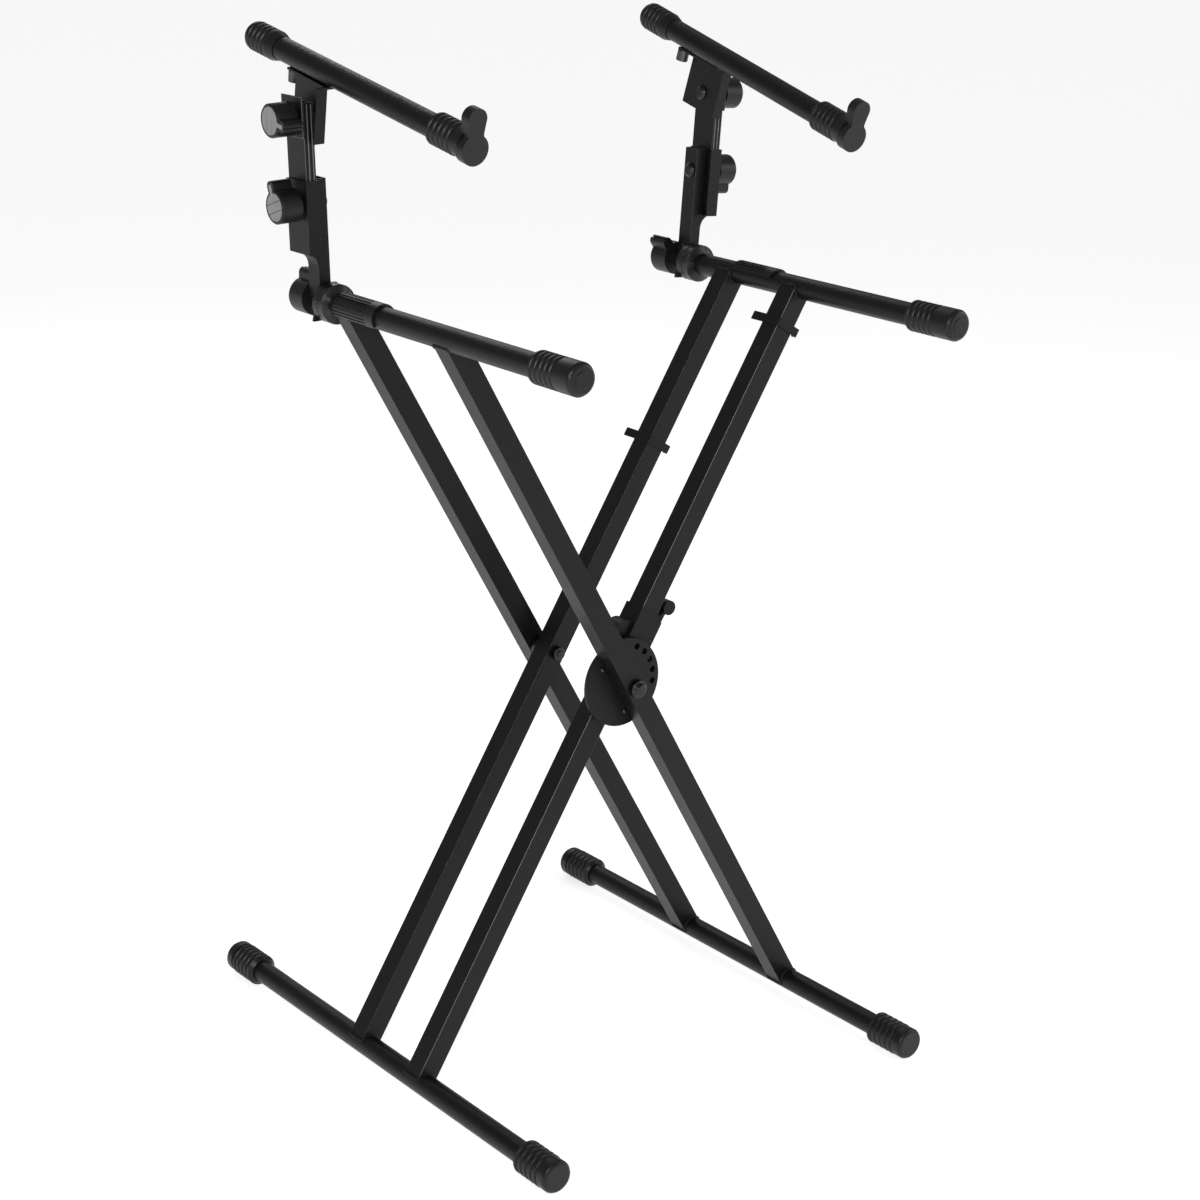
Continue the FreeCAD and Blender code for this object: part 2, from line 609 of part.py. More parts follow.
# Slotted bar that slides in the channel, with the plate under the tilt knob.
bar_body = doc.addObject("PartDesign::Body", "bar_stock")
bar_sketch = new_sketch(bar_body, "bar_profile", "XY_Plane")
bar_x = values["bar_wide"] / 2
bar_y = values["bar_deep"] / 2
box_profile(bar_sketch, "$bar_wide / 2", "$bar_deep / 2", bar_x, bar_y)
wall = values["wall"]
box_profile(bar_sketch, "$bar_wide / 2 - $wall", "$bar_deep / 2 - $wall", bar_x - wall, bar_y - wall)
BAR_LOW = "$chan_low + $chan_wall + $slot_down + $body_gap"
pad(bar_body, "bar_pad", bar_sketch, "$bar_top - (" + BAR_LOW + ")")
bind(bar_body, "Placement", at("$bar_in + $bar_wide / 2", "$side_y", BAR_LOW))
SLOT = "$bolt_dia / 2 + $body_gap"
SLOT_LOW = "$height_v - $slot_up"
slot_a = box("slot_a", "$bar_in - 5", "$side_y - (" + SLOT + ")", SLOT_LOW,
             "$bar_wide + 10", "2 * (" + SLOT + ")", "$slot_up + $slot_down")
slot_b = rod("slot_b", "x", SLOT, "$bar_wide + 10", "$bar_in - 5", "$side_y", SLOT_LOW)
slot_c = rod("slot_c", "x", SLOT, "$bar_wide + 10", "$bar_in - 5", "$side_y",
             "$height_v + $slot_down")
tilt_hole = rod("tilt_hole", "x", BORE, "60", "-20", "$side_y", "$tilt_v")
bar = cut("bar_slotted", bar_body, [slot_a, slot_b, slot_c, tilt_hole])
pair("mid_bar", bar)
clamp_solid = box("clamp_solid", "$chan_out - $clamp_thick + 0.2", "$side_y - 19", "$clamp_low",
                  "$clamp_thick", "40", "$clamp_high")
clamp = cut("clamp_stock", clamp_solid, [tilt_hole])
pair("clamp_plate", clamp)

# Saddle, upper arm tube and its caps: origin at the tilt bolt, y along the arm.
TILT_R = POST_RIGHT + " * " + turn("0", "$side_y", "$tilt_v", "1;0;0", "$tilt_right")
TILT_L = POST_LEFT + " * " + turn("0", "$side_y", "$tilt_v", "1;0;0", "$tilt_left")


def tilt_pair(label, source):
    put(label + "_right", source, TILT_R)
    flip(label + "_left", source, TILT_L)


WEB_TOP = "$arm_up - " + TUBE + " - $weld_gap"
web = box("web", "$web_in", "-$web_front", "-$web_low",
          "$sheet", "$web_front + $web_rear", WEB_TOP + " + $web_low")
front_flange = box("front_flange", "$web_in", "-$web_front", "-$web_low",
                   "$flange_out - $web_in", "$sheet", WEB_TOP + " + $web_low")
top_flange = box("top_flange", "-$top_half", "-$web_front", WEB_TOP + " - $sheet",
                 "2 * $top_half", "$web_front + $top_rear", "$sheet")
tilt_boss = rod("tilt_boss", "x", "11", "$bar_in - $web_in - 0.2 - 1", "$web_in + 1", "0", "0")
saddle_solid = fuse("saddle_solid", [web, front_flange, top_flange, tilt_boss])
web_hole = rod("web_hole", "x", BORE, "60", "-20", "0", "0")
screw_hole = rod("screw_hole", "z", "$screw_dia / 2 + $run_gap", "20", "0", "$screw_y",
                 WEB_TOP + " - 10")
saddle = cut("saddle_stock", saddle_solid, [web_hole, screw_hole])
tilt_pair("saddle", saddle)
tilt_bolt = dome_bolt("tilt_bolt_stock", "$web_in", "0", "0",
                      "$chan_out - $web_in + 0.2 + $bore_deep")
tilt_pair("tilt_bolt", tilt_bolt)
screw_head = rod("screw_head", "z", "7", "$screw_high - $weld_gap", "0", "$screw_y",
                 WEB_TOP + " - $sheet - $screw_high")
screw_shank = rod("screw_shank", "z", "$screw_dia / 2", "$sheet + 6", "0", "$screw_y",
                  WEB_TOP + " - $sheet - 1")
screw = fuse("saddle_screw_stock", [screw_head, screw_shank])
tilt_pair("saddle_screw", screw)
upper_stock = round_tube("upper_stock", "$tube_front + $tube_rear")
# The arm tube and its caps swing a little on the saddle screw.
SWING = turn("0", "$screw_y", "$arm_up", "0;0;1", "-$arm_toe") + " * "
bind(upper_stock, "Placement", SWING + turn("0", "-$tube_front - $screw_y", "0", "1;0;0", "-90"))
upper_tube = cut("upper_tube_stock", upper_stock, [screw_hole])
tilt_pair("upper_arm_tube", upper_tube)
rear_parts = [
    cone("rear_lead", "z", TUBE + " + 0.8", REAR_RIB, "10", "0", "0", "0"),
    rod("rear_collar", "z", REAR_RIB, "2", "0", "0", "10"),
    rod("rear_core", "z", REAR_RIB + " - 1.4", "$cap_rear_len - 18", "0", "0", "12"),
]
rear_parts += ribs("rear_rib", 5, REAR_RIB, "$rib_pitch", "$cap_rear_len - 6 - 4.6 * $rib_pitch")
rear_parts += round_end("rear_end", REAR_RIB + " - 0.6", "$cap_rear_len - 7", "$cap_rear_len", "4")
rear_solid = fuse("rear_cap_solid", rear_parts)
rear_cap = cut("rear_cap", rear_solid, [socket("rear_socket", "$cap_rear_len - $cap_wall + 1")])
rear_placed = doc.addObject("Part::Compound", "rear_cap_placed")
rear_placed.Links = [rear_cap]
bind(rear_placed, "Placement", SWING + turn("0", "$cap_rear_at - $screw_y", "0", "1;0;0", "-90"))
tilt_pair("upper_cap_rear", rear_placed)

# Front cap: ribbed, with a paddle-shaped stop across its front end.
EAR_AT = "$cap_front_len - $ear_thick"
LOBE = TUBE + " + $lobe_wall"
ear_body = doc.addObject("PartDesign::Body", "ear_stock")
ear_sketch = new_sketch(ear_body, "ear_profile", "XY_Plane")
corner_profile(ear_sketch, [
    ("-ear_half", "-lobe_drop"), ("ear_half", "-lobe_drop"), ("ear_waist", "ear_turn"),
    ("ear_half", "ear_mid"), ("-ear_half", "ear_mid"), ("-ear_waist", "ear_turn"),
])
pad(ear_body, "ear_pad", ear_sketch, "$ear_thick")
bind(ear_body, "Placement", at("0", "0", EAR_AT))
ear_top = rod("ear_top", "z", "$ear_half", "$ear_thick", "0", "$ear_mid", EAR_AT)
ear_foot = rod("ear_foot", "z", LOBE, "$ear_thick", "0", "-$lobe_drop", EAR_AT)
front_parts = [
    cone("front_lead", "z", TUBE + " + 1", CAP_CORE, "$taper_len", "0", "0", "0"),
    rod("front_core", "z", CAP_CORE, EAR_AT + " - $taper_len + 2", "0", "0", "$taper_len"),
    ear_body,
    ear_top,
    ear_foot,
]
front_parts += ribs("front_rib", 5, CAP_RIB + " - 0.2", "$rib_pitch", "$taper_len")
front_solid = fuse("front_cap_solid", front_parts)
front_socket = socket("front_socket", "$tube_front - $cap_front_at + 1.5")
front_cap = cut("front_cap", front_solid, [front_socket])
front_placed = doc.addObject("Part::Compound", "front_cap_placed")
front_placed.Links = [front_cap]
bind(front_placed, "Placement", SWING + turn("0", "-$cap_front_at - $screw_y", "0", "1;0;0", "90"))
tilt_pair("upper_cap_front", front_placed)


# Winged knobs, axis along z, the wing along x.
def knob(name, radius, length, reach):
    body = rod(name + "_body", "z", radius, length + " - 1.5", "0", "0", "$neck_len")
    rim = cone(name + "_rim", "z", radius, radius + " - 1.5", "1.5", "0", "0",
               "$neck_len + " + length + " - 1.5")
    stem = rod(name + "_stem", "z", "$neck_rad", "$neck_len + 1", "0", "0", "0")
    tip_at = reach + " - $wing_half"
    wing = box(name + "_wing", "0", "-$wing_half", "$neck_len + 1",
               tip_at, "2 * $wing_half", length + " - 2")
    tip = rod(name + "_tip", "z", "$wing_half", length + " - 2", tip_at, "0", "$neck_len + 1")
    solid = fuse(name + "_solid", [body, rim, stem, wing, tip])
    top = "$neck_len + " + length + " - $face_deep"
    face = rod(name + "_face", "z", "$face_rad", "5", "0", "0", top)
    tab = box(name + "_tab", "0", "-2.6", top, reach + " - 3.6", "5.2", "5")
    bore = rod(name + "_bore", "z", BORE, "$bore_deep + 1", "0", "0", "-1")
    groove = box(name + "_groove", reach + " - 2", "-1.5", "-1", "6", "3", "60")
    return cut(name, solid, [face, tab, bore, groove])


side_knob = knob("side_knob", "$knob_rad", "$knob_len", "$wing_reach")
pivot_knob = knob("pivot_knob", "$pivot_knob_rad", "$pivot_knob_len", "$wing_reach + 2")


def spin(angle):
    return turn("0", "0", "0", "0;0;1", angle)


HEIGHT_AT = turn(KNOB_BASE, "$side_y", "$height_v", "0;1;0", "90")
HEIGHT_AT_L = turn("-(" + KNOB_BASE + ")", "$side_y", "$height_v", "0;1;0", "-90")
put("height_knob_right", side_knob, POST_RIGHT + " * " + HEIGHT_AT + " * " + spin("0"))
flip("height_knob_left", side_knob, POST_LEFT + " * " + HEIGHT_AT_L + " * " + spin("-160"))
TILT_OFF = KNOB_BASE + " + 0.2"
TILT_AT = turn(TILT_OFF, "$side_y", "$tilt_v", "0;1;0", "90")
TILT_AT_L = turn("-(" + TILT_OFF + ")", "$side_y", "$tilt_v", "0;1;0", "-90")
put("tilt_knob_right", side_knob, POST_RIGHT + " * " + TILT_AT + " * " + spin("90"))
flip("tilt_knob_left", side_knob, POST_LEFT + " * " + TILT_AT_L + " * " + spin("80"))
PIVOT_Y = "$side_y + $post_deep / 2 + $body_gap"
PIVOT_R = turn("$arm_x", PIVOT_Y, "$arm_z", "1;0;0", "-90")
PIVOT_L = turn("-$arm_x", PIVOT_Y, "$arm_z", "1;0;0", "-90")
put("pivot_knob_right", pivot_knob, PIVOT_R + " * " + spin("-127"))
flip("pivot_knob_left", pivot_knob, PIVOT_L + " * " + spin("90"))

# Hub: lock disc on the outer front leg, through bolts and spacers.
DISC_Y = "$hub_y - $outer_y + $leg_side / 2 + $weld_gap"
disc_body = doc.addObject("PartDesign::Body", "disc_stock")
disc_sketch = new_sketch(disc_body, "disc_profile", "XY_Plane")
ring_profile(disc_sketch, "$disc_rad", values["disc_rad"])
ring_profile(disc_sketch, BORE, values["bolt_dia"] / 2 + 0.05)
pad(disc_body, "disc_pad", disc_sketch, "$disc_thick")
holes = []
for step in range(5):
    angle = "(90 + $disc_start - " + str(step) + " * $disc_step) * 1 deg - " + LEAN
    hole = rod("lock_hole_" + str(step), "z", "$disc_hole", "$disc_thick + 2", "0", "0", "-1")
    bind(hole, "Placement", turn("0", "0", "0", "0;0;1", angle) + " * " + at(HOLE_AT, "0", "-1"))
    holes.append(hole)
disc_drilled = cut("disc_drilled", disc_body, holes)
disc_parts = [disc_drilled]
for step, angle in enumerate(("146", "-84")):
    rivet = rod("rivet_" + str(step), "z", "2.2", "1.8", "0", "0", "0")
    spot = at("0.69 * $disc_rad", "0", "$disc_thick - 0.6")
    bind(rivet, "Placement", turn("0", "0", "0", "0;0;1", angle) + " * " + spot)
    disc_parts.append(rivet)
disc_done = fuse("disc_done", disc_parts)
DISC_PLACE = turn("0", DISC_Y + " + $disc_thick", HUB_Z, "1;0;0", "90")
put("lock_disc", disc_done, DISC_PLACE)

FRONT_FACE = "$hub_y - $outer_y - $leg_side / 2"
B_FRONT_REAR = "$hub_y - $inner_y + $leg_side / 2"
B_REAR_FRONT = "$hub_y + $inner_y - $leg_side / 2"
REAR_FACE = "$hub_y + $outer_y + $leg_side / 2"
REACH = "$outer_y - $inner_y + $leg_side"
bolts = [
    cone("front_dome", "y", "6", "$nut_rad - 2", "4", "0", FRONT_FACE + " - $nut_len", HUB_Z),
    rod("front_nut", "y", "$nut_rad", "$nut_len - 4.1", "0", FRONT_FACE + " - $nut_len + 4", HUB_Z),
    rod("front_shank", "y", "$bolt_dia / 2", REACH + " + 10", "0", FRONT_FACE + " - 2", HUB_Z),
    rod("front_end", "y", "8", "6", "0", B_FRONT_REAR + " + $body_gap", HUB_Z),
    rod("rear_nut", "y", "8", "6", "0", B_REAR_FRONT + " - 6 - $body_gap", HUB_Z),
    rod("rear_shank", "y", "$bolt_dia / 2", REACH + " + 10", "0", B_REAR_FRONT + " - 8", HUB_Z),
    rod("rear_head", "y", "$nut_rad", "$nut_len - 3", "0", REAR_FACE + " + 0.1", HUB_Z),
]
hub_bolts = fuse("hub_bolt_stock", bolts)
put("hub_bolts", hub_bolts, at("0", "0", "0"))
GAP_START = DISC_Y + " + $disc_thick + $weld_gap"
GAP_END = "$hub_y - $inner_y - $leg_side / 2 - $body_gap"
front_spacer = rod("front_spacer", "y", "$spacer_rad", GAP_END + " - (" + GAP_START + ")",
                   "0", GAP_START, HUB_Z)
REAR_GAP = "$hub_y + $inner_y + $leg_side / 2 + $body_gap"
rear_spacer = rod("rear_spacer", "y", "$spacer_rad",
                  "$outer_y - $inner_y - $leg_side - $body_gap - $weld_gap", "0", REAR_GAP, HUB_Z)
spacer_hole = rod("spacer_hole", "y", BORE, "300", "0", "-150", HUB_Z)
spacer_pair = fuse("spacer_pair", [front_spacer, rear_spacer])
spacers = cut("spacer_stock", spacer_pair, [spacer_hole])
put("hub_spacers", spacers, at("0", "0", "0"))

# Lock on the inner front leg: x across the leg, z up the leg from the hub.
LOCK_AT = B_FRONT + " * " + at("0", "0", HUB_S)
HALF = "$leg_side / 2"
house_out = box("house_out", "-" + HALF + " - $house_wall", "-" + HALF + " - $house_wall", "$house_low",
                "$leg_side + 2 * $house_wall", "$leg_side + 2 * $house_wall", "$house_len")
house_round = rod("house_round", "y", "$house_bump", "20", "-$house_bump - 1", "-10", "$bump_s")
cheek_high = "$lever_neck - $lever_s + 4"
cheek_a = box("cheek_a", HALF, "-$lever_half - $body_gap - $house_wall", "$lever_low - 1",
              "$lever_out - " + HALF, "$house_wall", cheek_high)
cheek_b = box("cheek_b", HALF, "$lever_half + $body_gap", "$lever_low - 1",
              "$lever_out - " + HALF, "$house_wall", cheek_high)
# The pin slides in a guide beside the leg, behind one hole of the lock disc.
PIN_ANGLE = "(($pin_hole * $disc_step - $disc_start) * 1 deg)"
PIN_X = "(" + HOLE_AT + ") * sin(" + PIN_ANGLE + ")"
PIN_Z = "(" + HOLE_AT + ") * cos(" + PIN_ANGLE + ")"
DISC_BACK = DISC_Y + " + $disc_thick - ($hub_y - $inner_y)"
GUARD_DEEP = "-" + HALF + " - $house_wall + 0.2 - (" + DISC_BACK + " + $body_gap)"
guard = rod("guard", "y", "$disc_rad - $guard_edge", GUARD_DEEP, "0", DISC_BACK + " + $body_gap", "0")
guard_eye = rod("guard_eye", "y", "$spacer_rad + 1.5", "40", "0", "-30", "0")
guard_ring = cut("guard_ring", guard, [guard_eye])
pin_guide = rod("pin_guide", "y", "$guide_rad", "25", PIN_X, "-" + HALF + " - $house_wall - 0.5", PIN_Z)
house_solid = fuse("house_solid", [house_out, house_round, cheek_a, cheek_b, guard_ring, pin_guide])
leg_room = box("leg_room", "-" + HALF + " - $weld_gap", "-" + HALF + " - $weld_gap", "0",
               "$leg_side + 2 * $weld_gap", "$leg_side + 2 * $weld_gap", "200")
axle_room = rod("axle_room", "y", "$axle_dia / 2 + $run_gap", "40", "$lever_off", "-20", "$lever_s")
pin_room = rod("pin_room", "y", "$pin_rad + $run_gap", "60", PIN_X, "-30", PIN_Z)
housing = cut("housing_stock", house_solid, [leg_room, axle_room, pin_room])
put("lock_housing", housing, LOCK_AT)
axle = rod("axle_stock", "y", "$axle_dia / 2", "2 * ($lever_half + $house_wall + 1)", "$lever_off",
           "-$lever_half - $house_wall - 1", "$lever_s")
put("lever_axle", axle, LOCK_AT)
lever_body = doc.addObject("PartDesign::Body", "lever_stock")
lever_sketch = new_sketch(lever_body, "lever_profile", "XZ_Plane")
corner_profile(lever_sketch, [
    ("lever_in", "lever_low"), ("lever_out", "lever_low"), ("neck_out", "lever_neck"),
    ("thumb_off", "thumb_s"), ("neck_in", "lever_neck"), ("lever_in", "lever_bend"),
])
lever_pad = pad(lever_body, "lever_pad", lever_sketch, "2 * $lever_half")
lever_pad.Midplane = True
lever_hole = rod("lever_hole", "y", "$axle_dia / 2 + $run_gap", "40", "$lever_off", "-20", "$lever_s")
thumb = rod("thumb", "y", "$thumb_rad", "2 * $lever_half", "$thumb_off", "-$lever_half", "$thumb_s")
lever_whole = fuse("lever_whole", [lever_body, thumb])
trigger = cut("trigger_stock", lever_whole, [lever_hole])
put("lock_trigger", trigger, LOCK_AT)
PIN_FRONT = DISC_BACK + " + $body_gap"
PIN_HEAD = "12"
pin_shank = rod("pin_shank", "y", "$pin_rad", PIN_HEAD + " + 1 - (" + PIN_FRONT + ")", PIN_X,
                PIN_FRONT, PIN_Z)
pin_head = rod("pin_head", "y", "5", "4", PIN_X, PIN_HEAD, PIN_Z)
pin = fuse("pin_stock", [pin_shank, pin_head])
put("lock_pin", pin, LOCK_AT)

# Cable clips on the inner legs.
clip_side = box("clip_side", "-" + HALF + " - $weld_gap - $clip_wall",
                "-" + HALF + " - $weld_gap - $clip_wall", "-$clip_high / 2",
                "$clip_wall", "$leg_side + $weld_gap + $clip_wall + $clip_tail", "$clip_high")
clip_strap = box("clip_strap", "-" + HALF + " - $weld_gap - $clip_wall",
                 "-" + HALF + " - $weld_gap - $clip_wall", "-$clip_high / 2",
                 "$leg_side + $weld_gap + $clip_wall + $clip_tab", "$clip_wall", "$clip_high")
clip_hook = box("clip_hook", HALF + " + $clip_tab - $clip_wall",
                "-" + HALF + " - $weld_gap - $clip_wall", "-$clip_high / 2",
                "$clip_wall", "7", "$clip_high")
clip_catch = box("clip_catch", "-" + HALF + " - $weld_gap - $clip_wall",
                 HALF + " + $weld_gap", "-$clip_high / 2", "6", "$clip_wall", "$clip_high")
clip = fuse("clip_stock", [clip_side, clip_strap, clip_hook, clip_catch])
put("cable_clip_front", clip, B_FRONT + " * " + at("0", "0", HUB_S + " + $clip_front_s"))
put("cable_clip_rear", clip, B_REAR + " * " + at("0", "0", HUB_S + " + $clip_rear_s"))

doc.recompute()

for thing in doc.Objects:
    state = " ".join(thing.State)
    if "Invalid" in state or "Error" in state:
        raise RuntimeError("not built: " + thing.Name)
os.makedirs("parts", exist_ok=True)
for thing in finished:
    if thing.Shape.isNull() or not thing.Shape.isValid():
        raise RuntimeError("bad shape: " + thing.Label)
    thing.Shape.exportStep("parts/" + thing.Label + ".step")
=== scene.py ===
import json
import math

import bmesh
import bpy
from mathutils import Matrix, Vector

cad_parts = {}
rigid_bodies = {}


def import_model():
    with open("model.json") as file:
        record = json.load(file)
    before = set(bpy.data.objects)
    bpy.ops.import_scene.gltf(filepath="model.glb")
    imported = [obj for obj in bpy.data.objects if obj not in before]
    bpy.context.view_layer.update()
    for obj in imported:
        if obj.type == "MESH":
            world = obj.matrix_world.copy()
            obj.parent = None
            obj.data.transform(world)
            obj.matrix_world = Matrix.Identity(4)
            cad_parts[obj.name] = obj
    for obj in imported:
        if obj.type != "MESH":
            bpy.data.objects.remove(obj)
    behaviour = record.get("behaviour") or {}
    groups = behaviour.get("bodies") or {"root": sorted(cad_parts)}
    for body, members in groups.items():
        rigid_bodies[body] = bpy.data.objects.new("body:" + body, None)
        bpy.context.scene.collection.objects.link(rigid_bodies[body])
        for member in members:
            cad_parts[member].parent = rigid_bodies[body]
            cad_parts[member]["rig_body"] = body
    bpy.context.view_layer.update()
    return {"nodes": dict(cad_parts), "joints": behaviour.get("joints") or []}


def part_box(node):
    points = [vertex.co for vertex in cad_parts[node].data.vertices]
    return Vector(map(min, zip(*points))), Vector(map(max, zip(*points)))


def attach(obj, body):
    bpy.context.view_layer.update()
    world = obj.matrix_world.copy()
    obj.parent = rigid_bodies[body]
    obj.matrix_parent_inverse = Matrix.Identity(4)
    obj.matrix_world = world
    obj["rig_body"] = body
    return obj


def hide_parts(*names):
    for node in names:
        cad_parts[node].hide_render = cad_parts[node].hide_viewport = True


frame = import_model()
MM = 0.001

# --- Camera -----------------------------------------------------------------
# A long lens looks down on the stand from the front left, a little rolled, as
# in the photograph.
AZIMUTH, ELEVATION, ROLL = (math.radians(a) for a in (-38.697, 17.628, 1.745))
AIM = Vector((26.701, -11.0, 518.756)) * MM
DISTANCE = 2891.833 * MM
FOCAL_PIXELS, FRAME_PIXELS, SENSOR = 2529.141, 1200.0, 36.0

toward = Vector((math.sin(AZIMUTH) * math.cos(ELEVATION),
                 -math.cos(AZIMUTH) * math.cos(ELEVATION),
                 math.sin(ELEVATION)))
level = Vector((math.cos(AZIMUTH), math.sin(AZIMUTH), 0.0))
upward = toward.cross(level)
across = level * math.cos(ROLL) + upward * math.sin(ROLL)
upright = upward * math.cos(ROLL) - level * math.sin(ROLL)
lens = bpy.data.cameras.new("camera")
lens.lens = FOCAL_PIXELS / FRAME_PIXELS * SENSOR
lens.sensor_width = SENSOR
camera = bpy.data.objects.new("camera", lens)
bpy.context.scene.collection.objects.link(camera)
place = Matrix((across, upright, toward)).transposed().to_4x4()
place.translation = AIM + toward * DISTANCE
camera.matrix_world = place
bpy.context.scene.camera = camera

# --- Studio -----------------------------------------------------------------
# A lit white floor under a dimmer room lightens the faces that turn down. A soft
# key lamp stands at the front left, with weaker ones at the right and behind.
FLOOR_HALF, FLOOR_WHITE, FLOOR_GLOW, ROOM_GLOW = 32.0, 0.9, 0.66, 0.30

floor_mesh = bpy.data.meshes.new("studio_floor")
floor_mesh.from_pydata(
    [(-FLOOR_HALF, -FLOOR_HALF, 0), (FLOOR_HALF, -FLOOR_HALF, 0),
     (FLOOR_HALF, FLOOR_HALF, 0), (-FLOOR_HALF, FLOOR_HALF, 0)], [], [(0, 1, 2, 3)])
studio_floor = bpy.data.objects.new("studio_floor", floor_mesh)
bpy.context.scene.collection.objects.link(studio_floor)
pale = bpy.data.materials.new("pale_floor")
pale.use_nodes = True
pale_shader = pale.node_tree.nodes["Principled BSDF"]
pale_shader.inputs["Base Color"].default_value = (FLOOR_WHITE, FLOOR_WHITE, FLOOR_WHITE, 1)
pale_shader.inputs["Roughness"].default_value = 0.9
pale_shader.inputs["Specular IOR Level"].default_value = 0.0
pale_shader.inputs["Emission Color"].default_value = (1, 1, 1, 1)
pale_shader.inputs["Emission Strength"].default_value = FLOOR_GLOW
floor_mesh.materials.append(pale)

world = bpy.data.worlds.new("studio_world")
world.use_nodes = True
world.node_tree.nodes["Background"].inputs["Color"].default_value = (1, 1, 1, 1)
world.node_tree.nodes["Background"].inputs["Strength"].default_value = ROOM_GLOW
bpy.context.scene.world = world
bpy.context.scene.view_settings.view_transform = "Standard"


def soft_lamp(name, spot, aim, size, power):
    light = bpy.data.lights.new(name, "AREA")
    light.shape = "RECTANGLE"
    light.size, light.size_y = size
    light.energy = power
    lamp = bpy.data.objects.new(name, light)
    lamp.location = spot
    lamp.rotation_euler = (Vector(aim) - Vector(spot)).to_track_quat("-Z", "Y").to_euler()
    bpy.context.scene.collection.objects.link(lamp)


soft_lamp("key_lamp", (-2.2, -2.5, 2.0), (0, 0, 0.6), (0.5, 0.5), 60)
soft_lamp("side_lamp", (2.6, -1.6, 1.6), (0, 0, 0.8), (0.9, 1.4), 22)
soft_lamp("back_lamp", (1.2, 3.0, 2.6), (0, 0, 0.7), (1.6, 0.8), 14)


# --- Leg frames ---------------------------------------------------------------
# Square and round steel tubes, welded and powder coated satin black. The coat has a fine orange
# peel; the lighter colour on the rounded corners is a painted highlight.
class Shade:
    """A shader value that adds its Math nodes when it is used in a sum."""

    def __init__(self, recipe, socket):
        self.recipe = recipe
        self.socket = socket

    def math(self, operation, *others, flip=False):
        terms = [self, *others]
        if flip:
            terms = terms[::-1]
        return self.recipe.node("ShaderNodeMath", {"operation": operation},
                                dict(enumerate(terms)))

    def __add__(self, other):
        return self.math("ADD", other)

    def __radd__(self, other):
        return self.math("ADD", other)

    def __sub__(self, other):
        return self.math("SUBTRACT", other)

    def __rsub__(self, other):
        return self.math("SUBTRACT", other, flip=True)

    def __mul__(self, other):
        return self.math("MULTIPLY", other)

    def __rmul__(self, other):
        return self.math("MULTIPLY", other)

    def clamp(self):
        return self.math("MAXIMUM", 0.0).math("MINIMUM", 1.0)


class Recipe:
    """One material: a principled shader and the nodes that feed it."""

    def __init__(self, name, metallic=0.0, specular=0.5):
        self.material = bpy.data.materials.new(name)
        self.material.use_nodes = True
        self.tree = self.material.node_tree
        self.tree.nodes.clear()
        self.shader = self.tree.nodes.new("ShaderNodeBsdfPrincipled")
        self.shader.inputs["Metallic"].default_value = metallic
        self.shader.inputs["Specular IOR Level"].default_value = specular
        output = self.tree.nodes.new("ShaderNodeOutputMaterial")
        self.tree.links.new(self.shader.outputs[0], output.inputs[0])

    def feed(self, socket, value):
        if isinstance(value, Shade):
            self.tree.links.new(value.socket, socket)
        else:
            socket.default_value = value

    def node(self, kind, settings=None, values=None, out=0):
        made = self.tree.nodes.new(kind)
        for name, value in (settings or {}).items():
            if name == "stops":
                ramp = made.color_ramp
                while len(ramp.elements) < len(value):
                    ramp.elements.new(0.5)
                for element, (spot, colour) in zip(ramp.elements, value):
                    element.position = spot
                    element.color = (*colour, 1)
            else:
                setattr(made, name, value)
        for key, value in (values or {}).items():
            self.feed(made.inputs[key], value)
        return Shade(self, made.outputs[out])

    def place(self):
        return self.node("ShaderNodeTexCoord", out="Object")

    def noise(self, scale, detail=3.0, roughness=0.5):
        return self.node("ShaderNodeTexNoise", {}, {
            "Vector": self.place(), "Scale": scale, "Detail": detail,
            "Roughness": roughness}, out="Fac")

    def blend(self, amount, colour_a, colour_b):
        return self.node("ShaderNodeMix", {"data_type": "RGBA"}, {
            "Factor": amount, 6: (*colour_a, 1), 7: (*colour_b, 1)}, out=2)

    def finish(self, colour, roughness, height, depth):
        self.feed(self.shader.inputs["Base Color"], colour)
        self.feed(self.shader.inputs["Roughness"], roughness)
        bump = self.node("ShaderNodeBump", {}, {
            "Height": height, "Distance": depth, "Strength": 1.0})
        self.feed(self.shader.inputs["Normal"], bump)
        return self.material


def powder_coat(name, dark, light, specular, rough):
    coat = Recipe(name, specular=specular)
    cloud = coat.noise(14.0, 4.0)
    peel = coat.noise(620.0, 2.0)
    grit = coat.noise(1500.0, 2.0)
    colour = coat.blend((cloud * 0.5 + grit * 0.9 - 0.2).clamp(), dark, light)
    return coat.finish(colour, cloud * 0.16 + rough, peel + grit * 0.5, 0.00024)


BLACK_COAT = powder_coat("powder_coat", (0.0008, 0.0008, 0.0009), (0.0085, 0.0085, 0.0088),
                         0.20, 0.32)
# Lighter coats for rounded edges: painted highlights where the edges catch light.
EDGE_HIGHLIGHT_COAT = powder_coat("painted_edge_highlight", (0.06, 0.06, 0.061), (0.16, 0.16, 0.16), 0.5, 0.22)
LEG_CORNER_HIGHLIGHT = powder_coat("painted_leg_corner_highlight", (0.16, 0.16, 0.16), (0.34, 0.34, 0.335), 0.5, 0.24)
JOIN_GAP, FLAT_BEND = 0.000005, math.radians(0.6)
EDGE_BEND, FACE_WEIGHT = math.radians(38), 80


